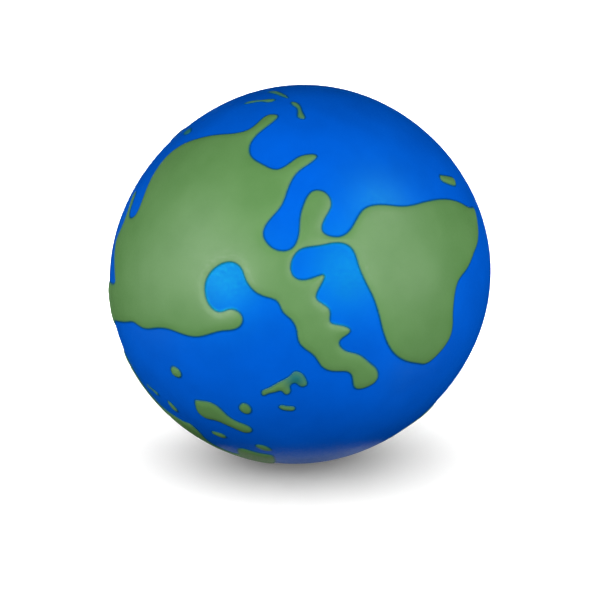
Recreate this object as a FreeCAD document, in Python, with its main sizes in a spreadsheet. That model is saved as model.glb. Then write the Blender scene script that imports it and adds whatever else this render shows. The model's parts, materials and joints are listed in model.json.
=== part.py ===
import FreeCAD, Part
import Sketcher
import math
import os

# A foam globe for squeezing, 70 mm across: a polyurethane foam core inside a blue skin that is
# the sea, with each landmass standing proud of it as a green coat of its own.
# Millimetres, +Z up, as the ball lies on a desk. The origin is the centre of the small flat that
# the soft ball rests on.

os.makedirs("parts", exist_ok=True)
doc = FreeCAD.newDocument("StressBall")

# ---- driving dimensions ----

sizes = doc.addObject("Spreadsheet::Sheet", "Sizes")
driving_dimensions = [
    ("seaDiameter", "70"),        # across the blue skin
    ("landHeight", "0.5"),        # how far the land stands proud of the sea
    ("skinThickness", "0.8"),     # moulded skin and paint over the foam
    ("restRadius", "5"),          # the flat that the ball's weight presses on the desk
    ("spinAngle", "82"),          # how the globe has rolled: first about its own poles,
    ("tiltAngle", "105"),         # then its north pole tipped over about Y,
    ("headingAngle", "-132"),     # then turned about the vertical
]
for row, (alias, value) in enumerate(driving_dimensions, start=1):
    sizes.set(f"A{row}", alias)
    sizes.set(f"B{row}", value)
    sizes.setAlias(f"B{row}", alias)
doc.recompute()

sea_radius = "Sizes.seaDiameter / 2"
land_radius = "Sizes.seaDiameter / 2 + Sizes.landHeight"
core_radius = "Sizes.seaDiameter / 2 - Sizes.skinThickness"
centre_height = "sqrt((Sizes.seaDiameter / 2) ^ 2 - Sizes.restRadius ^ 2)"


def value_of(expression):
    """The number that an expression in the sheet's dimensions comes to."""
    return float(sizes.evalExpression(expression))


up = FreeCAD.Vector(0, 0, 1)
globe_turn = (FreeCAD.Rotation(up, sizes.headingAngle)
              * FreeCAD.Rotation(FreeCAD.Vector(0, 1, 0), sizes.tiltAngle)
              * FreeCAD.Rotation(up, sizes.spinAngle))

# ---- coasts ----
# Each coast is a closed curve through (longitude, latitude) points of the globe, in degrees,
# kept to the half degree and simplified as on a toy globe. No coast comes within 12 degrees of
# the rest flat, which is in the Caribbean.

eurasia_africa = [
    # Okhotsk, Korea and the China coast
    (158, 55.5), (155, 50.5), (152, 45.5), (146, 43.5), (141.5, 41.5), (139.5, 37.5), (138, 33.5),
    (136.5, 33.5), (136.5, 38), (137, 42), (133.5, 44.5), (129.5, 44), (127, 40), (126, 35),
    (124.5, 30), (121.5, 25.5), (116, 22.5), (109, 21), (101, 19.5), (95, 18), (92, 16),
    # Malay horn, Bengal and India
    (91, 11), (90, 7), (88, 6.5), (87, 9), (87.5, 15), (86.5, 21), (83, 24), (78, 24.5),
    (73, 23.5), (71.5, 20), (70, 14.5), (67.5, 12.5), (67, 15), (67.5, 20), (66, 25.5),
    # Persian gulf and Arabia
    (63, 31.5), (62.5, 36.5), (60.5, 40.5), (56.5, 41.5), (52, 40.5), (49.5, 37.5), (51, 34),
    (55.5, 30), (58.5, 26), (59.5, 21.5), (57, 19.5), (53, 20.5), (51, 24), (48, 27.5),
    (44.5, 26), (43, 23),
    # Africa
    (44, 19), (46, 14), (45, 9.5), (41, 3), (38.5, -5), (36, -14), (32, -22), (28, -28.5),
    (24.5, -30.5), (20.5, -27), (16.5, -18.5), (14, -11), (12, -5), (8, -2.5), (1, -1), (-4, 2),
    (-6.5, 7), (-6, 12.5), (-2.5, 18), (3.5, 22.5), (11, 24), (22, 24), (33, 24), (39, 23.5),
    # Levant, Greece, Italy and Spain
    (41.5, 25), (45, 31), (47.5, 36), (45.5, 40), (41.5, 41.5), (37.5, 39), (35.5, 34),
    (33.5, 36), (30, 39), (24, 37), (20, 38), (17, 35), (14, 33.5), (12.5, 36.5), (8.5, 36.5),
    (5.5, 33), (1, 29.5), (-3.5, 27), (-8, 28.5), (-9, 31.5),
    # Atlantic and North Sea coasts, the Baltic and Scandinavia
    (-5.5, 34.5), (-0.5, 36.5), (0.5, 40), (3, 43), (9, 45), (16, 48), (22, 47.5), (27, 48),
    (31, 49), (36, 49), (41, 51.5), (47, 53), (53, 52.5), (57.5, 51.5), (62, 52), (66.5, 55),
    (68.5, 59), (67, 62.5), (62, 65), (54.5, 66), (48.5, 65), (45, 61.5), (40, 60), (35, 61),
    # Arctic coast and Kamchatka
    (33.5, 63), (36.5, 67.5), (41, 73.5), (48, 77), (64.5, 79.5), (88, 80.5), (118, 80.5),
    (139, 79.5), (155, 76.5), (160, 73.5), (168, 70), (176, 65.5), (181, 61), (186, 56),
    (188, 51), (184, 47), (177, 45), (171, 48), (167, 52), (163.5, 55),
]
americas = [
    # Arctic coast, Hudson bay and Labrador
    (-156, 56.5), (-148, 57.5), (-140, 57.5), (-130, 57.5), (-118, 58.5), (-109, 60.5),
    (-100, 61.5), (-93, 62.5), (-90, 59.5), (-91, 53.5), (-90, 49.5), (-86, 46), (-81, 45.5),
    (-77, 47.5), (-72.5, 51), (-67, 51.5), (-63.5, 48), (-60.5, 45.5), (-62.5, 42.5),
    # eastern seaboard and the gulf
    (-68, 38.5), (-73, 35), (-77.5, 31), (-83, 29), (-90, 30), (-96, 28), (-99, 23), (-99, 18),
    (-97.5, 13), (-94, 7.5), (-89, 3), (-83, 1), (-77, 1.5), (-72, 4.5),
    # South America
    (-69, 8.5), (-63, 9.5), (-57.5, 7), (-53, 3.5), (-50, 0), (-45, -3), (-40.5, -6),
    (-40, -10.5), (-42, -15.5), (-44, -21), (-48.5, -25), (-51.5, -30), (-56, -35), (-61, -39),
    (-65, -46), (-69, -52), (-72.5, -54), (-75.5, -49), (-74, -40), (-71.5, -29), (-71.5, -19),
    (-77, -12.5), (-81, -6.5), (-83, -3),
    # Pacific coast of the isthmus, Mexico and Alaska
    (-89, -0.5), (-95.5, 4), (-100.5, 10), (-104, 17), (-107, 23), (-113, 30), (-119.5, 34.5),
    (-125, 41), (-128, 45), (-133, 48.5), (-140, 50.5), (-149, 51.5), (-155, 53),
]
antarctica = [
    (0, -70), (25, -69), (50, -66.5), (80, -67.5), (110, -66), (140, -67), (162, -71),
    (172, -78), (-162, -79), (-140, -75), (-110, -73), (-85, -73), (-70, -70), (-58, -64),
    (-60, -71), (-45, -78), (-22, -75),
]
australia = [
    (113, -22), (114, -28), (116, -34), (120, -35), (125, -33), (130, -32), (135, -34),
    (139, -37), (144, -39), (150, -37.5), (153, -32), (153, -26), (148.5, -20.5), (145, -15.5),
    (142.5, -11), (140.5, -15), (137.5, -17), (134, -13), (129.5, -13), (125, -15.5),
    (121, -19),
]
greenland = [
    (-60.5, 75.5), (-52, 74.5), (-45.5, 73), (-43, 70.5), (-45, 67), (-45, 64), (-43.5, 61.5),
    (-43.5, 59), (-46, 58), (-50, 58.5), (-53, 61.5), (-56, 64.5), (-61, 67), (-69, 68.5),
    (-72, 71), (-69, 73.5), (-65.5, 75),
]
great_britain = [
    (2.5, 50.5), (1, 49), (-2, 48), (-5, 48), (-5.5, 49.5), (-3.5, 51), (-5, 52.5), (-9, 52.5),
    (-10.5, 53.5), (-8.5, 55), (-9.5, 56.5), (-12, 59), (-13.5, 60), (-11, 60.5), (-8, 59),
    (-5, 57), (-1.5, 54), (1, 52),
]
# one node may hold several islands, so every node has a list of coasts
lands = {
    "eurasia_africa": [eurasia_africa],
    "americas": [americas],
    "antarctica": [antarctica],
    "australia": [australia],
    "greenland": [greenland],
    "great_britain": [great_britain],
    "ireland": [[(-17.5, 54), (-17.5, 52), (-18, 50.5), (-19.5, 50.5), (-20.5, 52), (-20.5, 54),
                 (-19, 55)]],
    "iceland": [[(-24, 64.5), (-25, 63), (-29, 62), (-32.5, 62.5), (-33, 64.5), (-30.5, 65.5),
                 (-26.5, 65.5)]],
    "svalbard": [[(-75, 87.5), (-50, 87), (-43, 85.5), (-56, 84), (-75, 84), (-91, 85),
                  (-93, 86.5)]],
    "baffin_island": [[(-74, 62), (-70, 61.5), (-67.5, 60.5), (-68, 59), (-71, 58.5),
                       (-74.5, 59.5), (-76.5, 61)]],
    "newfoundland": [[(-56, 52.5), (-53.5, 51), (-53.5, 49.5), (-55.5, 47.5), (-57.5, 48),
                      (-58.5, 50)]],
    "victoria_island": [[(-108.5, 70), (-103, 69.5), (-100, 67.5), (-103, 66), (-107, 67)]],
    "banks_island": [[(-133.5, 66), (-127.5, 67.5), (-121, 68.5), (-120.5, 67.5),
                      (-127.5, 66), (-133, 65)]],
    "madagascar": [[(42.5, -20.5), (41.5, -23), (40.5, -25.5), (39, -27.5), (37.5, -26.5),
                    (38, -23), (39.5, -20.5), (41.5, -19)]],
    "sumatra": [[(89.5, -2), (87.5, -2), (85, -0.5), (82.5, 1.5), (80.5, 3.5), (81.5, 4),
                 (84, 2), (86.5, 0), (89, -1)]],
    "java": [[(102.5, -6.5), (101, -7), (97.5, -6), (94, -4.5), (92.5, -3.5), (96, -4),
              (99.5, -5)]],
    "borneo": [[(104, 3), (102.5, 1.5), (99.5, 0.5), (95, -0.5), (95, 0.5), (99, 1.5),
                (102, 3)]],
    "luzon": [[(121.5, 14.5), (120, 13.5), (118, 15), (117, 16.5), (118.5, 17), (120.5, 16)]],
    "mindanao": [[(132, 9.5), (131, 6.5), (133, 5), (135, 7.5), (134, 11)]],
    "new_guinea": [[(131, -1), (134, -5), (138.5, -8.5), (144, -9), (149, -11), (147, -6),
                    (142, -3), (136, -1.5)]],
    "new_zealand": [[(173, -35), (176, -37), (178.5, -38), (176.5, -41), (174, -39.5)],
                    [(172.5, -41), (174, -42.5), (170.5, -46), (167, -46.5), (168.5, -43.5)]],
}


# ---- foam core and blue skin: half profiles turned about the vertical ----

START, END, CENTRE = 1, 2, 3      # the points of a sketch's line or arc
VERTICAL, LEVEL = -2, -1          # the sketch's own axes
ORIGIN = -1                       # the level axis starts at the sketch's origin


def dimension(sketch, name, expression, kind, *where):
    """A sketch dimension bound to the sheet."""
    number = sketch.addConstraint(Sketcher.Constraint(kind, *where, value_of(expression)))
    sketch.renameConstraint(number, name)
    sketch.setExpression(f"Constraints.{name}", expression)


def half_ball(sketch, name, radius, flat_height):
    """Half a ball's outline: the round side up to its top, and the flat from its rim inwards."""
    middle, height = value_of(centre_height), value_of(flat_height)
    flat_radius = math.sqrt(value_of(radius) ** 2 - (middle - height) ** 2)
    circle = Part.Circle(FreeCAD.Vector(0, middle, 0), up, value_of(radius))
    side = sketch.addGeometry(
        Part.ArcOfCircle(circle, -math.acos(flat_radius / value_of(radius)), math.pi / 2))
    flat = sketch.addGeometry(
        Part.LineSegment(FreeCAD.Vector(flat_radius, height, 0), FreeCAD.Vector(0, height, 0)))
    sketch.addConstraint([
        Sketcher.Constraint("Coincident", side, START, flat, START),
        Sketcher.Constraint("PointOnObject", side, CENTRE, VERTICAL),
        Sketcher.Constraint("PointOnObject", side, END, VERTICAL),
        Sketcher.Constraint("PointOnObject", flat, END, VERTICAL),
        Sketcher.Constraint("Horizontal", flat),
    ])
    dimension(sketch, f"{name}Radius", radius, "Radius", side)
    dimension(sketch, f"{name}Centre", centre_height, "DistanceY", ORIGIN, START, side, CENTRE)
    if height > 0:
        dimension(sketch, f"{name}Flat", flat_height, "DistanceY", ORIGIN, START, flat, END)
    else:
        sketch.addConstraint(Sketcher.Constraint("PointOnObject", flat, START, LEVEL))
    return side, flat


def join_on_axis(sketch, first, second):
    """Closes a profile with a line between two points that lie on the vertical."""
    line = sketch.addGeometry(
        Part.LineSegment(sketch.getPoint(*first), sketch.getPoint(*second)))
    sketch.addConstraint([
        Sketcher.Constraint("Coincident", line, START, *first),
        Sketcher.Constraint("Coincident", line, END, *second),
    ])


def core_profile(sketch):
    """The foam: a solid ball whose own flat is a skin's thickness above the desk."""
    side, flat = half_ball(sketch, "core", core_radius, "Sizes.skinThickness")
    join_on_axis(sketch, (flat, END), (side, END))


def skin_profile(sketch):
    """The blue skin: two round outlines about one centre, closed all the way round."""
    outside, rest_flat = half_ball(sketch, "sea", sea_radius, "0")
    inside, core_flat = half_ball(sketch, "core", core_radius, "Sizes.skinThickness")
    join_on_axis(sketch, (rest_flat, END), (core_flat, END))
    join_on_axis(sketch, (outside, END), (inside, END))


def turned_body(name, draw_profile):
    """A body made by turning a profile on the XZ plane once round the vertical."""
    body = doc.addObject("PartDesign::Body", name)
    planes = {feature.Role: feature for feature in body.Origin.OriginFeatures}
    sketch = body.newObject("Sketcher::SketchObject", f"{name}_profile")
    sketch.AttachmentSupport = [(planes["XZ_Plane"], "")]
    sketch.MapMode = "FlatFace"
    draw_profile(sketch)
    turning = body.newObject("PartDesign::Revolution", f"{name}_turning")
    turning.Profile = sketch
    turning.ReferenceAxis = (sketch, ["V_Axis"])
    turning.Angle = 360
    return body


sub_parts = [turned_body("foam_core", core_profile), turned_body("sea_skin", skin_profile)]

# ---- land: what each coast cuts out of a thin shell over the sea ----
# The shell and the cones are made about the globe's own centre and poles, and each finished coat
# is then placed as the globe has rolled.

PLANE_CLEARANCE = 1.1             # the coasts' planes stand this many land radii from the centre
POINTS_PER_EDGE = 4               # a long coast is a chain of edges with about this many points

globe_centre = doc.addObject("Part::Vertex", "GlobeCentre")
land_sphere = doc.addObject("Part::Sphere", "LandSphere")
land_sphere.setExpression("Radius", land_radius)
sea_sphere = doc.addObject("Part::Sphere", "SeaSphere")
sea_sphere.setExpression("Radius", sea_radius)
land_shell = doc.addObject("Part::Cut", "LandShell")
land_shell.Base = land_sphere
land_shell.Tool = sea_sphere


def globe_direction(longitude, latitude):
    """Unit vector from the globe's centre: +X at longitude 0, +Z at its north pole."""
    lon, lat = math.radians(longitude), math.radians(latitude)
    return FreeCAD.Vector(math.cos(lat) * math.cos(lon), math.cos(lat) * math.sin(lon),
                          math.sin(lat))


def middle_direction(directions):
    """Halfway between the two points of a coast that are farthest apart."""
    pairs = [(a, b) for number, a in enumerate(directions) for b in directions[number + 1:]]
    first, second = max(pairs, key=lambda pair: pair[0].getAngle(pair[1]))
    return (first + second).normalize()


def coast_sketch(name, outline):
    """A coast as seen from the globe's centre, on a plane square to the land's middle."""
    directions = [globe_direction(*point) for point in outline]
    middle = middle_direction(directions)
    facing = FreeCAD.Rotation(up, middle)
    distance = PLANE_CLEARANCE * value_of(land_radius)
    on_plane = []
    for direction in directions:
        local = facing.inverted().multVec(direction)
        on_plane.append(FreeCAD.Vector(local.x, local.y, 0) * (distance / local.z))
    coast = Part.BSplineCurve()
    coast.interpolate(Points=on_plane, PeriodicFlag=True)

    sketch = doc.addObject("Sketcher::SketchObject", name)
    knots = coast.getKnots()
    edges = max(2, len(outline) // POINTS_PER_EDGE)
    cuts = [round(number * (len(knots) - 1) / edges) for number in range(edges + 1)]
    for start, end in zip(cuts, cuts[1:]):
        edge = coast.copy()
        edge.segment(knots[start], knots[end])
        sketch.addGeometry(edge)
    sketch.Placement = FreeCAD.Placement(middle * distance, facing)
    return sketch


def coast_cone(name, outline):
    """Everything between the globe's centre and a coast's plane, with the coast as its edge."""
    cone = doc.addObject("Part::Loft", f"{name}_cone")
    cone.Sections = [globe_centre, coast_sketch(f"{name}_coast", outline)]
    cone.Solid = True
    cone.Ruled = True
    return cone


def land_coat(name, coasts):
    """A green coat: the thin shell's part within a land's coasts, placed on the ball."""
    cones = [coast_cone(f"{name}_{number}", outline) for number, outline in enumerate(coasts)]
    if len(cones) == 1:
        inside = cones[0]
    else:
        inside = doc.addObject("Part::MultiFuse", f"{name}_cones")
        inside.Shapes = cones
    coat = doc.addObject("Part::Common", name)
    coat.Base = land_shell
    coat.Tool = inside
    coat.Placement = FreeCAD.Placement(FreeCAD.Vector(), globe_turn)
    coat.setExpression("Placement.Base.z", centre_height)
    return coat


sub_parts += [land_coat(name, coasts) for name, coasts in lands.items()]

# ---- check and write ----

doc.recompute()
for item in doc.Objects:
    if "Invalid" in item.State or "Error" in item.State:
        raise RuntimeError(f"{item.Label} failed: {item.State}")

solids_wanted = {name: len(coasts) for name, coasts in lands.items()}
for sub_part in sub_parts:
    shape = sub_part.Shape
    if shape.isNull() or not shape.isValid():
        raise RuntimeError(f"{sub_part.Label} has no valid shape")
    if len(shape.Solids) != solids_wanted.get(sub_part.Label, 1):
        raise RuntimeError(f"{sub_part.Label} has {len(shape.Solids)} solids")
    shape.exportStep(f"parts/{sub_part.Label}.step")
    print(f"{sub_part.Label}: {shape.Volume:.2f} mm3, {len(shape.Faces)} faces")
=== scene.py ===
import json
import math

import bpy
import numpy as np
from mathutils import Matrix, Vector
from mathutils.geometry import delaunay_2d_cdt

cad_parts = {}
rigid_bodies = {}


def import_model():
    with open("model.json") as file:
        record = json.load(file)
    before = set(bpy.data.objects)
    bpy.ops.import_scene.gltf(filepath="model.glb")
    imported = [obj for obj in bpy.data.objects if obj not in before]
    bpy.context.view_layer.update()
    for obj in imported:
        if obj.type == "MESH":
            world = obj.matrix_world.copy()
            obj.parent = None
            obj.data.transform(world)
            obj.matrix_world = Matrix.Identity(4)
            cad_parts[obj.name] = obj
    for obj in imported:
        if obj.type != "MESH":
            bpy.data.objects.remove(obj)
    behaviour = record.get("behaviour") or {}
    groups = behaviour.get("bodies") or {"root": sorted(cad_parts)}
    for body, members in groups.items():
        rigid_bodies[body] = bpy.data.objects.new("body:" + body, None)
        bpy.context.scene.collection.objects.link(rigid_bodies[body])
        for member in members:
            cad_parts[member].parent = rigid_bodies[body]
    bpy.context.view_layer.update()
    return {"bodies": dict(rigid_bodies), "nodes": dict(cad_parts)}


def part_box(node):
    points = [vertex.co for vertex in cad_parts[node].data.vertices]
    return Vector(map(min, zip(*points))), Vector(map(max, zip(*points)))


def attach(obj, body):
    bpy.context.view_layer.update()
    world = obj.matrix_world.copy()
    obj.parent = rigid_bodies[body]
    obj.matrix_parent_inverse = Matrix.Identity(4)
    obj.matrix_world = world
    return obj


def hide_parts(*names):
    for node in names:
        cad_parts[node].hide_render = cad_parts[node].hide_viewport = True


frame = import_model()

# A squeezable foam globe, 70 mm across: a foam core, a blue moulded skin, and green land that
# stands half a millimetre proud of the sea. Lengths in the dictionaries are millimetres.

mm = 0.001
ballBody = sorted(frame["bodies"])[0]


def nodePoints(node):
    # a node's triangles with their doubled corners joined: points (n, 3) in mm, triangles (m, 3)
    mesh = frame["nodes"][node].data
    flat = np.empty(len(mesh.vertices) * 3, np.float32)
    mesh.vertices.foreach_get("co", flat)
    corners = np.empty(len(mesh.loops), np.int32)
    mesh.loops.foreach_get("vertex_index", corners)
    weld = 1e-4
    whole, index = np.unique(np.round(flat.reshape(-1, 3) / mm / weld), axis=0, return_inverse=True)
    return whole * weld, index.reshape(-1)[corners].reshape(-1, 3)


# sizes that come from the frame
landNames = sorted(set(frame["nodes"]) - {"foam_core", "sea_skin"})
skinLow, skinHigh = (np.array(corner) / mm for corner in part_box("sea_skin"))
coreLow, coreHigh = (np.array(corner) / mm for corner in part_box("foam_core"))
seaRadius = round((skinHigh[0] - skinLow[0]) / 2, 1)
coreRadius = round((coreHigh[0] - coreLow[0]) / 2, 1)
centre = np.array([0, 0, skinHigh[2] - seaRadius])
landPoints = np.concatenate([nodePoints(name)[0] for name in landNames])
landRadius = np.linalg.norm(landPoints - centre, axis=1).max()
print(f"frame: sea radius {seaRadius:.2f}, land radius {landRadius:.2f}, core radius {coreRadius:.2f},"
      f" centre {centre[2]:.2f} mm up, body {ballBody}")

ball = {                      # a moulding never keeps quite round
    "longAcross": 0.0125,     # share of the radius that it gains on one slant and loses on the other
    "longSlant": 38.8,        # that slant, degrees up from the right
    "threeLobes": 0.002,
    "fourLobes": 0.0046,
    "restRounding": 0.10,     # how softly the round side runs into the flat it rests on
}
viewTilt = math.radians(14)   # the long slant is seen from the front, a little above
acrossAxis = np.array([1, 0, 0])
upAxis = np.array([0, math.sin(viewTilt), math.cos(viewTilt)])
backAxis = np.cross(acrossAxis, upAxis)


def seenFrom(across, up, back):
    # a direction given as the front view's right, up and towards the viewer, in the ball's own axes
    direction = across * acrossAxis + up * upAxis + back * backAxis
    return direction / np.linalg.norm(direction)


def unevenness(directions):
    # share added to the radius: waves of two, three and four lobes round the ball, each the real part of
    # (across + i up) to that power, turned to its slant
    across, up = directions @ acrossAxis, directions @ upAxis
    slant = math.radians(2 * ball["longSlant"])
    two = (across**2 - up**2) * math.cos(slant) + 2 * across * up * math.sin(slant)
    three = (across**3 - 3 * across * up**2) / 2 - (3 * across**2 * up - up**3) * math.sqrt(0.75)
    four = across**4 - 6 * across**2 * up**2 + up**4
    return ball["longAcross"] * two + ball["threeLobes"] * three + ball["fourLobes"] * four


def onBall(directions, heights, flat=True):
    # point = centre + direction (sea radius + height) (1 + unevenness), and where that comes near the
    # ground its height turns into e exp(z / e - 1), which meets the round side smoothly and ends at 0
    reach = (seaRadius + heights) * (1 + unevenness(directions))
    points = centre + directions * reach[:, None]
    soft = ball["restRounding"]
    low = points[:, 2] < soft
    if flat:
        points[low, 2] = soft * np.exp(points[low, 2] / soft - 1)
    return points


relief = {
    "landLevel": 0.30,        # the level inland stands this much above the sea: the soft moulding never fills
                              # the frame's full half millimetre
    "seaClimb": 0.07,         # the sea rises this much where it meets the land
    "seaClimbWidth": 0.50,    # over this width
    "coatStep": 0.02,         # the edge of the green coat itself
    "shoulderWidth": 1.60,    # the land rounds over from its edge to its full height in this width
    "coastStep": 0.32,        # spacing of points along a coast
    "landRows": [0.10, 0.22, 0.38, 0.58, 0.82, 1.10, 1.45],   # rows of points beside a coast
    "seaRows": [0.10, 0.23, 0.40, 0.62, 1.00],
    "rowKeep": 0.93,          # a row's point stays if no coast is nearer than this share of its distance
    "rowCell": 0.09,          # rows of points are thinned to one in each cube of this size
    "openPoints": 30000,      # points spread over the whole ball away from the coasts
    "openClear": 0.35,        # they keep this far from the last row
    "underStart": 1.25,       # under the land the climb goes as this - inland distance / underFall,
    "underFall": 0.40,        # held between 0 and 1
    "underLift": 0.01,        # a coat's underside stands this much off the skin
    "underFade": 0.10,        # from this far inside its edge
}


def coastLoops(node):
    # the rims of a land's outer face: its edges that only one outer triangle has, joined end to end
    points, triangles = nodePoints(node)
    away = np.linalg.norm(points - centre, axis=1)
    outer = triangles[(away[triangles] > (seaRadius + landRadius) / 2).all(axis=1)]
    edges = np.concatenate([outer[:, [0, 1]], outer[:, [1, 2]], outer[:, [2, 0]]])
    edges = edges[edges[:, 0] != edges[:, 1]]
    there = edges[:, 0] * len(points) + edges[:, 1]
    back = edges[:, 1] * len(points) + edges[:, 0]
    follow = dict(edges[~np.isin(there, back)].tolist())
    loops = []
    while follow:
        start, here = follow.popitem()
        loop = [start]
        while here != start:
            loop.append(here)
            here = follow.pop(here)
        loops.append(points[loop] - centre)
    return loops


curveSteps = 12               # points worked out along each piece of a coast's curve
fewestStations = 12           # and the fewest left on any coast


def evenCoast(loop, step):
    # a smooth closed curve through the loop's points (cubic Hermite pieces whose slope at a point is its two
    # chords' slopes weighted by the other chord's length), then points an even step apart, as directions
    chord = np.roll(loop, -1, axis=0) - loop
    length = np.linalg.norm(chord, axis=1)[:, None]
    slope = chord / length
    slopeBefore, lengthBefore = np.roll(slope, 1, axis=0), np.roll(length, 1, axis=0)
    tangent = (slope * lengthBefore + slopeBefore * length) / (length + lengthBefore)
    t = np.linspace(0, 1, curveSteps, endpoint=False)[None, :, None]
    here, there = loop[:, None], np.roll(loop, -1, axis=0)[:, None]
    leave = (tangent * length)[:, None]
    arrive = (np.roll(tangent, -1, axis=0) * length)[:, None]
    curve = (here * (2 * t**3 - 3 * t**2 + 1) + leave * (t**3 - 2 * t**2 + t)
             + there * (3 * t**2 - 2 * t**3) + arrive * (t**3 - t**2)).reshape(-1, 3)
    closed = np.concatenate([curve, curve[:1]])
    run = np.concatenate([[0], np.cumsum(np.linalg.norm(np.diff(closed, axis=0), axis=1))])
    stations = np.linspace(0, run[-1], max(fewestStations, round(run[-1] / step)), endpoint=False)
    even = np.stack([np.interp(stations, run, closed[:, axis]) for axis in range(3)], axis=1)
    return even / np.linalg.norm(even, axis=1)[:, None]


coasts = []                   # one (land name, directions) for each closed coast
for name in landNames:
    coasts += [(name, evenCoast(loop, relief["coastStep"])) for loop in coastLoops(name)]
coastStarts = np.concatenate([line for _, line in coasts]) * seaRadius
coastEnds = np.concatenate([np.roll(line, -1, axis=0) for _, line in coasts]) * seaRadius
print(f"coasts: {len(coasts)} closed lines, {len(coastStarts)} points")


def coastDistance(directions):
    # distance in mm from each direction to the nearest piece of coast: from point p to the nearest
    # point a + t (b - a) of every piece a to b, with t held between 0 and 1
    nearest = np.empty(len(directions))
    along = coastEnds - coastStarts
    alongAlong = (along**2).sum(axis=1)
    startAlong = (coastStarts * along).sum(axis=1)
    startStart = (coastStarts**2).sum(axis=1)
    for first in range(0, len(directions), 2000):
        points = directions[first:first + 2000] * seaRadius
        offAlong = points @ along.T - startAlong
        offOff = (points**2).sum(axis=1)[:, None] - 2 * points @ coastStarts.T + startStart
        t = np.clip(offAlong / alongAlong, 0, 1)
        gap = offOff - 2 * t * offAlong + t**2 * alongAlong
        nearest[first:first + 2000] = np.sqrt(np.maximum(gap.min(axis=1), 0))
    return nearest


def besideCoasts(distance, side):
    # a row of points on one side of every coast: direction + side (distance / radius) (direction x tangent)
    rows = []
    for _, line in coasts:
        tangent = np.roll(line, -1, axis=0) - np.roll(line, 1, axis=0)
        tangent /= np.linalg.norm(tangent, axis=1)[:, None]
        row = line + side * distance / seaRadius * np.cross(line, tangent)
        rows.append(row / np.linalg.norm(row, axis=1)[:, None])
    return np.concatenate(rows)


def spreadPoints(count):
    # a spiral with a golden-angle turn from each point to the next: even height steps, even spacing
    k = np.arange(count)
    z = 1 - (2 * k + 1) / count
    turn = k * math.pi * (3 - math.sqrt(5))
    ring = np.sqrt(1 - z**2)
    return np.stack([ring * np.cos(turn), ring * np.sin(turn), z], axis=1)


def thinned(directions, cell):
    # one point from each cube of that many millimetres
    whole = np.round(directions * seaRadius / cell)
    return directions[np.sort(np.unique(whole, axis=0, return_index=True)[1])]


bottomCap = math.radians(4)   # a cap inside the flat that the ball rests on, closed by a fan
capPoints = 28
capClear = 1.1                # open points keep this many cap radii away
capTurn = np.arange(capPoints) * 2 * math.pi / capPoints
capRing = np.stack([math.sin(bottomCap) * np.cos(capTurn), math.sin(bottomCap) * np.sin(capTurn),
                    np.full(capPoints, -math.cos(bottomCap))], axis=1)

rowPoints = []
for side, rows in ((1, relief["landRows"]), (-1, relief["seaRows"])):
    for distance in rows:
        row = besideCoasts(distance, side)
        rowPoints.append(row[coastDistance(row) > relief["rowKeep"] * distance])
rowPoints = thinned(np.concatenate(rowPoints), relief["rowCell"])
openPoints = spreadPoints(relief["openPoints"])
openPoints = openPoints[openPoints[:, 2] > -math.cos(bottomCap * capClear)]
openPoints = openPoints[coastDistance(openPoints) > relief["landRows"][-1] + relief["openClear"]]
coastPoints = np.concatenate([line for _, line in coasts])
netPoints = np.concatenate([capRing, coastPoints, rowPoints, openPoints])

# seen from the bottom the ball unrolls to a plane, (x, y) / (1 + z), that keeps every angle
plane = netPoints[:, :2] / (1 + netPoints[:, 2:])
outlines = []
firstPoint = capPoints
for _, line in coasts:
    outlines.append(list(range(firstPoint, firstPoint + len(line))))
    firstPoint += len(line)
flatNet = delaunay_2d_cdt([Vector(point) for point in plane.tolist()], [], outlines, 0, 1e-9, True)
sourceOf = np.array([source[0] for source in flatNet[3]])
netDirections = np.concatenate([netPoints[sourceOf], [[0, 0, -1]]])
netFaces = np.array(flatNet[2])
faceCoast = np.array([source[0] if source else -1 for source in flatNet[5]])
placeOf = np.empty(len(netPoints), int)
placeOf[sourceOf] = np.arange(len(sourceOf))
capEdge = placeOf[:capPoints]
capFan = np.stack([np.roll(capEdge, -1), capEdge, np.full(capPoints, len(sourceOf))], axis=1)

insideLand = np.zeros(len(netDirections), bool)
insideLand[netFaces[faceCoast >= 0]] = True
netDistance = coastDistance(netDirections)
onCoast = np.zeros(len(netDirections), bool)
onCoast[placeOf[capPoints:capPoints + len(coastPoints)]] = True
netDistance[onCoast] = 0
netDistance[~insideLand] *= -1    # inland is above 0, the sea is below
print(f"net: {len(netDirections)} points, {len(netFaces) + capPoints} triangles")


def seaHeight(distance):
    # off the coast the sea climbs as (1 - d / width) squared, and under the land it falls away again
    offshore = relief["seaClimb"] * np.clip(1 + distance / relief["seaClimbWidth"], 0, 1)**2
    under = relief["seaClimb"] * np.clip(relief["underStart"] - distance / relief["underFall"], 0, 1)
    return np.where(distance > 0, under, offshore)


def landHeight(distance, level):
    # the level less the edge's drop times (1 - d / width) squared: steep at the coast, level inland
    edge = relief["seaClimb"] + relief["coatStep"]
    return level - (level - edge) * np.clip(1 - distance / relief["shoulderWidth"], 0, 1)**2


def newPiece(name, points, faces, attributes=None):
    # points (n, 3) in mm and faces as one array of corners make a smooth-shaded mesh object at the origin
    mesh = bpy.data.meshes.new(name)
    mesh.from_pydata((points * mm).tolist(), [], faces.tolist() if hasattr(faces, "tolist") else faces)
    for attribute, values in (attributes or {}).items():
        layer = mesh.attributes.new(attribute, "FLOAT", "POINT")
        layer.data.foreach_set("value", values.astype(np.float32))
    mesh.shade_smooth()
    mesh.update()
    piece = bpy.data.objects.new(name, mesh)
    bpy.context.scene.collection.objects.link(piece)
    return piece


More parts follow.
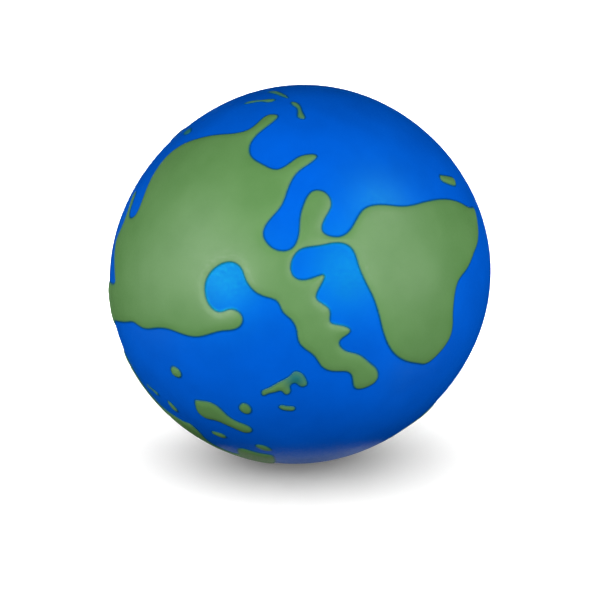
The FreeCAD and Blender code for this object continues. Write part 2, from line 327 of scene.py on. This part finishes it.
core = {                      # a ball of foam with its cut bubbles open
    "columns": 240,
    "rows": 120,
    "cells": 900,             # bubbles cut open on its surface, drawn far coarser than the real foam's
    "cellWidth": 2.6,
    "cellDepth": 0.35,
    "cellScatter": 0.022,     # how far a bubble strays from its even place, in radii
    "seed": 7,
    "clearance": 0.05,        # between the highest foam and the inside of the skin
}


def ballGrid(columns, rows):
    # directions on a grid of longitude and latitude with a single point at each pole, and its faces
    longitude = np.arange(columns) * 2 * math.pi / columns
    latitude = (np.arange(1, rows) / rows - 0.5) * math.pi
    longitude, latitude = np.meshgrid(longitude, latitude)
    grid = np.stack([np.cos(latitude) * np.cos(longitude), np.cos(latitude) * np.sin(longitude),
                     np.sin(latitude)], axis=2).reshape(-1, 3)
    directions = np.concatenate([grid, [[0, 0, -1], [0, 0, 1]]])
    index = np.arange(len(grid)).reshape(rows - 1, columns)
    right = np.roll(index, -1, axis=1)
    quads = np.stack([index[:-1], right[:-1], right[1:], index[1:]], axis=2).reshape(-1, 4)
    south = np.stack([right[0], index[0], np.full(columns, len(grid))], axis=1)
    north = np.stack([index[-1], right[-1], np.full(columns, len(grid) + 1)], axis=1)
    return directions, quads.tolist() + south.tolist() + north.tolist()


def openCells(directions):
    # depth of the nearest cut bubble: a bowl of depth (1 - (distance / half width) squared), never below 0
    scatter = np.random.default_rng(core["seed"]).normal(0, core["cellScatter"], (core["cells"], 3))
    middles = spreadPoints(core["cells"]) + scatter
    middles /= np.linalg.norm(middles, axis=1)[:, None]
    nearest = np.empty(len(directions))
    for first in range(0, len(directions), 4000):
        near = (directions[first:first + 4000] @ middles.T).max(axis=1)
        nearest[first:first + 4000] = np.arccos(np.clip(near, -1, 1)) * coreRadius
    return core["cellDepth"] * np.clip(1 - (nearest / (core["cellWidth"] / 2))**2, 0, 1)


coreDirections, coreFaces = ballGrid(core["columns"], core["rows"])
coreHeights = coreRadius - seaRadius - core["clearance"] - openCells(coreDirections)
corePoints = onBall(coreDirections, coreHeights, flat=False)
corePoints[:, 2] = np.maximum(corePoints[:, 2], coreLow[2] + core["clearance"])
foamCore = newPiece("foamCore", corePoints, coreFaces)
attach(foamCore, ballBody)
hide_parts("foam_core")
print("foam core made")

skin = {                      # the whole net outside and a plainer ball inside, so it is a closed shell
    "insideColumns": 120,
    "insideRows": 60,
    "insideInland": -9.0,     # the inside counts as open sea
}
outsidePoints = onBall(netDirections, seaHeight(netDistance))
insideDirections, insideFaces = ballGrid(skin["insideColumns"], skin["insideRows"])
insidePoints = onBall(insideDirections, np.full(len(insideDirections), coreRadius - seaRadius), flat=False)
insidePoints[:, 2] = np.maximum(insidePoints[:, 2], coreLow[2])
skinFaces = netFaces.tolist() + capFan.tolist()
skinFaces += [[corner + len(outsidePoints) for corner in reversed(face)] for face in insideFaces]
insideInland = np.full(len(insidePoints), skin["insideInland"])
seaSkin = newPiece("seaSkin", np.concatenate([outsidePoints, insidePoints]), skinFaces,
                   {"inland": np.concatenate([netDistance, insideInland])})
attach(seaSkin, ballBody)
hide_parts("sea_skin")
print("sea skin made")

paintCover = {                # how well the green covers the blue, 1 where not named
    "luzon": 0.25, "java": 0.65, "borneo": 0.75, "sumatra": 0.85, "great_britain": 0.95,
    "banks_island": 0.75, "newfoundland": 0.90, "ireland": 0.90,
}
lowLands = {"luzon": 0.12, "mindanao": 0.20}    # where the moulding came out lower than the land's level
thinSpot = {                  # a place where the spray missed: the north tip of Great Britain
    "from": (-0.02, -0.52, 0.85),
    "width": 1.9,
    "cover": 0.10,
}


def landPiece(name, coatName):
    # the net's faces inside this land's coasts, as a top and a turned-over underside joined by a rim
    own = [number for number, (land, _) in enumerate(coasts) if land == name]
    faces = netFaces[np.isin(faceCoast, own)]
    used, faces = np.unique(faces, return_inverse=True)
    faces = faces.reshape(-1, 3)
    count = len(used)
    directions, distance = netDirections[used], netDistance[used]
    top = onBall(directions, landHeight(distance, lowLands.get(name, relief["landLevel"])))
    lift = relief["underLift"] * np.clip(distance / relief["underFade"], 0, 1)
    under = onBall(directions, seaHeight(distance) + lift)
    spotAway = np.linalg.norm(directions - seenFrom(*thinSpot["from"]), axis=1) * seaRadius
    spotCover = 1 - (1 - thinSpot["cover"]) * np.exp(-(spotAway / thinSpot["width"])**2)
    edges = np.concatenate([faces[:, [0, 1]], faces[:, [1, 2]], faces[:, [2, 0]]])
    there, back = edges[:, 0] * count + edges[:, 1], edges[:, 1] * count + edges[:, 0]
    start, end = edges[~np.isin(there, back)].T
    rim = np.stack([start + count, end + count, end, start], axis=1)
    allFaces = faces.tolist() + (faces[:, ::-1] + count).tolist() + rim.tolist()
    return newPiece(coatName, np.concatenate([top, under]), allFaces, {
        "inland": np.concatenate([distance, distance]),
        "cover": np.tile(np.minimum(paintCover.get(name, 1.0), spotCover), 2),
    })


landCoats = []
for name in landNames:
    words = name.split("_")
    coat = landPiece(name, words[0] + "".join(word.capitalize() for word in words[1:]) + "Coat")
    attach(coat, ballBody)
    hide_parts(name)
    landCoats.append(coat)
largest = max(len(coat.data.polygons) for coat in landCoats)
print(f"{len(landCoats)} land coats made, the largest with {largest} faces")


def linear(hexColour):
    # an sRGB hex colour as the linear red, green, blue, alpha that the shader wants
    parts = [int(hexColour[k:k + 2], 16) / 255 for k in (1, 3, 5)]
    return [p / 12.92 if p <= 0.04045 else ((p + 0.055) / 1.055)**2.4 for p in parts] + [1]


def addNode(tree, kind, settings=None, links=None):
    # one node: settings are its properties, or its inputs' values by name or number, links feed its inputs
    node = tree.nodes.new(kind)
    for key, value in (settings or {}).items():
        if isinstance(key, str) and hasattr(node, key):
            setattr(node, key, value)
        else:
            node.inputs[key].default_value = value
    for key, socket in (links or {}).items():
        tree.links.new(socket, node.inputs[key])
    return node


def newMaterial(name):
    # an empty node material, its tree, and the piece's own coordinates in metres
    material = bpy.data.materials.new(name)
    material.use_nodes = True
    tree = material.node_tree
    tree.nodes.clear()
    place = addNode(tree, "ShaderNodeTexCoord").outputs["Object"]
    return material, tree, place


patchStart, patchEnd = 0.35, 0.70    # noise below the first keeps the main colour, above the second the deep
dullNoise, brightNoise = 0.3, 0.7    # noise at which the roughness is at its least and its most


def roughFrom(tree, noise, least, most):
    # roughness that goes in a straight line from least to most as the noise goes from one mark to the other
    return addNode(tree, "ShaderNodeMapRange", {1: dullNoise, 2: brightNoise, 3: least, 4: most},
                   {0: noise}).outputs[0]


seaFinish = {                 # self-skinned polyurethane foam with a flexible spray colour: satin, slightly
    "colour": "#0054C5",      # waxy, deep blue with a cyan cast where light strikes it
    "deepColour": "#004EBA",
    "edgeColour": "#003C66",  # a dusting of green over blue right beside a coast, and painted shade at the foot of the raised land
    "shine": "#2CFFAA",
    "shineLevel": 0.50,
    "roughness": 0.42,
    "roughSpread": 0.05,
    "mottle": 9.0,            # mm across one patch of deeper colour
    "edgeNoise": 0.7,         # mm across one tooth of the ragged dusting and painted shade
    "edgeRag": 0.16,          # mm by which it strays
    "edgeReach": -0.34,       # mm out to sea where the dusting and painted shade start
    "edgeFull": 0.06,         # mm inland where it is at its full share
    "edgeShare": 0.80,
    "peel": 0.55,             # mm across one dimple of the sprayed surface
    "peelDepth": 0.05,
    "peelStrength": 0.12,
}


def seaMaterial():
    material, tree, place = newMaterial("satinBlueSkin")
    inland = addNode(tree, "ShaderNodeAttribute", {"attribute_name": "inland"}).outputs["Fac"]
    patches = addNode(tree, "ShaderNodeTexNoise", {"Scale": 1 / (seaFinish["mottle"] * mm), "Detail": 3.0},
                      {"Vector": place}).outputs["Fac"]
    patchShare = addNode(tree, "ShaderNodeMapRange", {1: patchStart, 2: patchEnd}, {0: patches})
    blue = addNode(tree, "ShaderNodeMix", {"data_type": "RGBA", 6: linear(seaFinish["colour"]),
                                           7: linear(seaFinish["deepColour"])},
                   {0: patchShare.outputs[0]}).outputs[2]
    ragged = addNode(tree, "ShaderNodeTexNoise", {"Scale": 1 / (seaFinish["edgeNoise"] * mm),
                                                     "Detail": 2.0},
                     {"Vector": place}).outputs["Fac"]
    shifted = addNode(tree, "ShaderNodeMath", {"operation": "MULTIPLY_ADD", 1: seaFinish["edgeRag"]},
                      {0: ragged, 2: inland}).outputs[0]
    # the dark band beside a coast: green dusting over blue, and painted shade where the sea meets the raised
    # land
    dustAndShade = addNode(tree, "ShaderNodeMapRange", {"interpolation_type": "SMOOTHSTEP",
                                                1: seaFinish["edgeReach"], 2: seaFinish["edgeFull"],
                                                3: 0.0, 4: seaFinish["edgeShare"]}, {0: shifted}).outputs[0]
    colour = addNode(tree, "ShaderNodeMix", {"data_type": "RGBA", 7: linear(seaFinish["edgeColour"])},
                     {0: dustAndShade, 6: blue}).outputs[2]
    peel = addNode(tree, "ShaderNodeTexNoise", {"Scale": 1 / (seaFinish["peel"] * mm), "Detail": 2.0},
                   {"Vector": place}).outputs["Fac"]
    rough = roughFrom(tree, peel, seaFinish["roughness"] - seaFinish["roughSpread"],
                      seaFinish["roughness"] + seaFinish["roughSpread"])
    bump = addNode(tree, "ShaderNodeBump", {"Strength": seaFinish["peelStrength"],
                                            "Distance": seaFinish["peelDepth"] * mm},
                   {"Height": peel}).outputs[0]
    shader = addNode(tree, "ShaderNodeBsdfPrincipled", {
        "IOR": 1.50, "Specular IOR Level": seaFinish["shineLevel"],
        "Specular Tint": linear(seaFinish["shine"]),
    }, {"Base Color": colour, "Roughness": rough, "Normal": bump})
    addNode(tree, "ShaderNodeOutputMaterial", None, {"Surface": shader.outputs[0]})
    return material


landFinish = {                # flexible water-based spray paint over the moulded skin: a duller satin, chalky
    "colour": "#557F47",      # leaf green that whitens softly where light strikes it
    "deepColour": "#4F7A41",
    "thinColour": "#0C5A58",  # blue showing through a thin coat
    "bareColour": "#00646C",
    "shineLevel": 0.43,
    "roughness": 0.48,
    "roughLess": 0.05,
    "roughMore": 0.06,
    "mottle": 6.0,
    "edgeNoise": 0.5,
    "edgeRag": -0.14,
    "edgeStart": -0.10,       # mm inland where the paint is thinnest
    "edgeFull": 0.30,         # mm inland where it covers
    "edgeShare": 0.85,
    "peel": 0.45,
    "peelDepth": 0.05,
    "peelStrength": 0.16,
}


def landMaterial():
    material, tree, place = newMaterial("satinGreenPaint")
    inland = addNode(tree, "ShaderNodeAttribute", {"attribute_name": "inland"}).outputs["Fac"]
    cover = addNode(tree, "ShaderNodeAttribute", {"attribute_name": "cover"}).outputs["Fac"]
    patches = addNode(tree, "ShaderNodeTexNoise", {"Scale": 1 / (landFinish["mottle"] * mm), "Detail": 3.0},
                      {"Vector": place}).outputs["Fac"]
    patchShare = addNode(tree, "ShaderNodeMapRange", {1: patchStart, 2: patchEnd}, {0: patches})
    green = addNode(tree, "ShaderNodeMix", {"data_type": "RGBA", 6: linear(landFinish["colour"]),
                                            7: linear(landFinish["deepColour"])},
                    {0: patchShare.outputs[0]}).outputs[2]
    ragged = addNode(tree, "ShaderNodeTexNoise", {"Scale": 1 / (landFinish["edgeNoise"] * mm),
                                                     "Detail": 2.0},
                     {"Vector": place}).outputs["Fac"]
    shifted = addNode(tree, "ShaderNodeMath", {"operation": "MULTIPLY_ADD", 1: landFinish["edgeRag"]},
                      {0: ragged, 2: inland}).outputs[0]
    thin = addNode(tree, "ShaderNodeMapRange", {"interpolation_type": "SMOOTHSTEP",
                                                1: landFinish["edgeStart"], 2: landFinish["edgeFull"],
                                                3: landFinish["edgeShare"], 4: 0.0}, {0: shifted}).outputs[0]
    coated = addNode(tree, "ShaderNodeMix", {"data_type": "RGBA", 7: linear(landFinish["thinColour"])},
                     {0: thin, 6: green}).outputs[2]
    bare = addNode(tree, "ShaderNodeMath", {"operation": "SUBTRACT", 0: 1.0, "use_clamp": True},
                   {1: cover}).outputs[0]
    colour = addNode(tree, "ShaderNodeMix", {"data_type": "RGBA", 7: linear(landFinish["bareColour"])},
                     {0: bare, 6: coated}).outputs[2]
    peel = addNode(tree, "ShaderNodeTexNoise", {"Scale": 1 / (landFinish["peel"] * mm), "Detail": 3.0},
                   {"Vector": place}).outputs["Fac"]
    rough = roughFrom(tree, peel, landFinish["roughness"] - landFinish["roughLess"],
                      landFinish["roughness"] + landFinish["roughMore"])
    bump = addNode(tree, "ShaderNodeBump", {"Strength": landFinish["peelStrength"],
                                            "Distance": landFinish["peelDepth"] * mm},
                   {"Height": peel}).outputs[0]
    shader = addNode(tree, "ShaderNodeBsdfPrincipled", {
        "IOR": 1.50, "Specular IOR Level": landFinish["shineLevel"],
    }, {"Base Color": colour, "Roughness": rough, "Normal": bump})
    addNode(tree, "ShaderNodeOutputMaterial", None, {"Surface": shader.outputs[0]})
    return material


foamFinish = {                # open-cell flexible polyurethane foam: cream, dull, full of small bubbles
    "colour": "#DCD3BC",
    # painted shade in the bubbles' hollows
    "cellColour": "#B9AE93",
    "cell": 0.45,             # mm across one cell
    "cellDepth": 0.15,
    "cellStrength": 0.7,
    "roughness": 0.92,
}


def foamMaterial():
    material, tree, place = newMaterial("creamFoam")
    bubbles = addNode(tree, "ShaderNodeTexVoronoi", {"Scale": 1 / (foamFinish["cell"] * mm)},
                      {"Vector": place}).outputs["Distance"]
    # painted shade: the colour darkens towards each bubble's middle, where the bump dips into a hollow
    colour = addNode(tree, "ShaderNodeMix", {"data_type": "RGBA", 6: linear(foamFinish["cellColour"]),
                                             7: linear(foamFinish["colour"])}, {0: bubbles}).outputs[2]
    bump = addNode(tree, "ShaderNodeBump", {"Strength": foamFinish["cellStrength"],
                                            "Distance": foamFinish["cellDepth"] * mm},
                   {"Height": bubbles}).outputs[0]
    shader = addNode(tree, "ShaderNodeBsdfPrincipled", {
        "Roughness": foamFinish["roughness"], "IOR": 1.45, "Specular IOR Level": 0.25, "Sheen Weight": 0.2,
    }, {"Base Color": colour, "Normal": bump})
    addNode(tree, "ShaderNodeOutputMaterial", None, {"Surface": shader.outputs[0]})
    return material


seaSkin.data.materials.append(seaMaterial())
foamCore.data.materials.append(foamMaterial())
greenPaint = landMaterial()
for coat in landCoats:
    coat.data.materials.append(greenPaint)
print("materials made")

table = {
    "mirrored": 17.0,         # radius of the part whose reflection shows low on the ball
    "near": 70.0,             # radius of the part that takes the shadow
    "far": 6000.0,
    "colour": "#F4F4F4",
    "glow": 0.16,             # light that fills the shadow
    "farGlow": 1.0,           # keeps the table white to its horizon
    "below": 0.02,            # so that it doesn't touch the ball's flat
    "turns": 128,             # corners of each circle
    "grain": 3.0,
    "least": 0.85,            # roughness
    "most": 0.95,
}


def tableMaterial(name, glow):
    material, tree, place = newMaterial(name)
    grain = addNode(tree, "ShaderNodeTexNoise", {"Scale": 1 / (table["grain"] * mm), "Detail": 2.0},
                    {"Vector": place}).outputs["Fac"]
    rough = addNode(tree, "ShaderNodeMapRange", {3: table["least"], 4: table["most"]}, {0: grain}).outputs[0]
    shader = addNode(tree, "ShaderNodeBsdfPrincipled", {
        "Base Color": linear(table["colour"]), "Specular IOR Level": 0.1,
        "Emission Color": [1, 1, 1, 1], "Emission Strength": glow,
    }, {"Roughness": rough})
    addNode(tree, "ShaderNodeOutputMaterial", None, {"Surface": shader.outputs[0]})
    return material


def tableRing(name, inner, outer, material):
    # a flat ring between two circles, radius (cos turn, sin turn), or a disc where the inner one is a point
    count = table["turns"]
    turn = np.arange(count) * 2 * math.pi / count
    circle = np.stack([np.cos(turn), np.sin(turn), np.zeros(count)], axis=1)
    points = np.concatenate([circle * inner, circle * outer]) - [0, 0, table["below"]]
    index = np.arange(count)
    following = np.roll(index, -1)
    if inner:
        faces = np.stack([index, index + count, following + count, following], axis=1)
    else:
        points = points[count - 1:]
        faces = np.stack([np.zeros(count, int), index + 1, following + 1], axis=1)
    ring = newPiece(name, points, faces)
    ring.data.materials.append(material)
    return ring


middle = centre * mm
lights = {                    # where each disc light is (right, up, towards the viewer), metres across, watts
    "leftFrontLight": {"from": (-0.67, 0.00, 0.74), "width": 0.30, "watts": 3.7},
    "frontLight": {"from": (0.45, 0.03, 0.89), "width": 0.40, "watts": 3.45},
    "leftHighLight": {"from": (-0.81, 0.44, 0.38), "width": 0.30, "watts": 1.1},
    "rightHighLight": {"from": (0.68, 0.55, 0.48), "width": 0.30, "watts": 1.9},
    "rightLight": {"from": (0.92, -0.05, 0.38), "width": 0.30, "watts": 1.3},
    "lowRightLight": {"from": (0.80, -0.58, -0.12), "width": 0.30, "watts": 0.70},
    "leftSideLight": {"from": (-1.00, 0.00, 0.00), "width": 0.40, "watts": 0.85},
    "leftEdgeLight": {"from": (-0.89, 0.13, 0.43), "width": 0.25, "watts": 0.55},
    "behindLight": {"from": (0.00, 0.10, -1.00), "width": 0.60, "watts": 9.0},
}
dullLights = ("lowRightLight", "behindLight")    # these fill the shade and leave no shine
lightAway = 0.70              # metres from the ball's middle to each of them
tableLight = {"width": 8.0, "back": 0.30, "up": 1.0, "watts": 290}    # a white ceiling for the table alone
room = {"white": (1, 1, 1, 1), "strength": 0.9}    # what shows past the table, and lights nothing


def discLight(name, width, watts, direction, away, lit):
    # a round soft box that faces the ball and lights only the pieces in one collection
    data = bpy.data.lights.new(name, "AREA")
    data.shape = "DISK"
    data.size = width
    data.energy = watts
    box = bpy.data.objects.new(name, data)
    box.location = middle + direction * away
    box.rotation_euler = Vector(direction).to_track_quat("Z", "Y").to_euler()
    bpy.context.scene.collection.objects.link(box)
    box.light_linking.receiver_collection = lit
    return box


white = tableMaterial("whiteTable", table["glow"])
tables = bpy.data.collections.new("tables")
for name, inner, outer, material in (
        ("underTable", 0, table["mirrored"], white),
        ("nearTable", table["mirrored"], table["near"], white),
        ("farTable", table["near"], table["far"], tableMaterial("farWhiteTable", table["farGlow"]))):
    part = tableRing(name, inner, outer, material)
    part.visible_glossy = name == "underTable"
    part.visible_diffuse = False
    tables.objects.link(part)
ballPieces = bpy.data.collections.new("ballPieces")
for piece in [foamCore, seaSkin, *landCoats]:
    piece.visible_diffuse = False    # so that no blue is thrown on the table
    ballPieces.objects.link(piece)
for name, wanted in lights.items():
    box = discLight(name, wanted["width"], wanted["watts"], seenFrom(*wanted["from"]), lightAway, ballPieces)
    box.light_linking.blocker_collection = ballPieces
    box.visible_glossy = name not in dullLights
ceiling = discLight("tableLight", tableLight["width"], tableLight["watts"], np.array([0, 0, 1]),
                    tableLight["up"], tables)
ceiling.location.y += tableLight["back"]
ceiling.visible_camera = False
ceiling.data.cycles.use_multiple_importance_sampling = False
world = bpy.data.worlds.new("paleRoom")
world.use_nodes = True
world.node_tree.nodes["Background"].inputs["Color"].default_value = room["white"]
world.node_tree.nodes["Background"].inputs["Strength"].default_value = room["strength"]
world.cycles_visibility.diffuse = False
world.cycles_visibility.glossy = False
bpy.context.scene.world = world
bpy.context.scene.view_settings.view_transform = "Standard"

camera = {
    "away": 12 * seaRadius,
    "sensor": 36,
    "lens": 135.8,
    "below": 4.7,             # it looks at a point this far under the ball's middle
    "sees": (0.02, 50),       # metres
}


def frontCamera():
    data = bpy.data.cameras.new("frontCamera")
    data.lens = camera["lens"]
    data.sensor_width = camera["sensor"]
    data.clip_start, data.clip_end = camera["sees"]
    eye = bpy.data.objects.new("frontCamera", data)
    target = middle - upAxis * camera["below"] * mm
    eye.location = target + backAxis * camera["away"] * mm
    eye.rotation_euler = Vector(backAxis).to_track_quat("Z", "Y").to_euler()
    bpy.context.scene.collection.objects.link(eye)
    bpy.context.scene.camera = eye


frontCamera()
print("scene made")
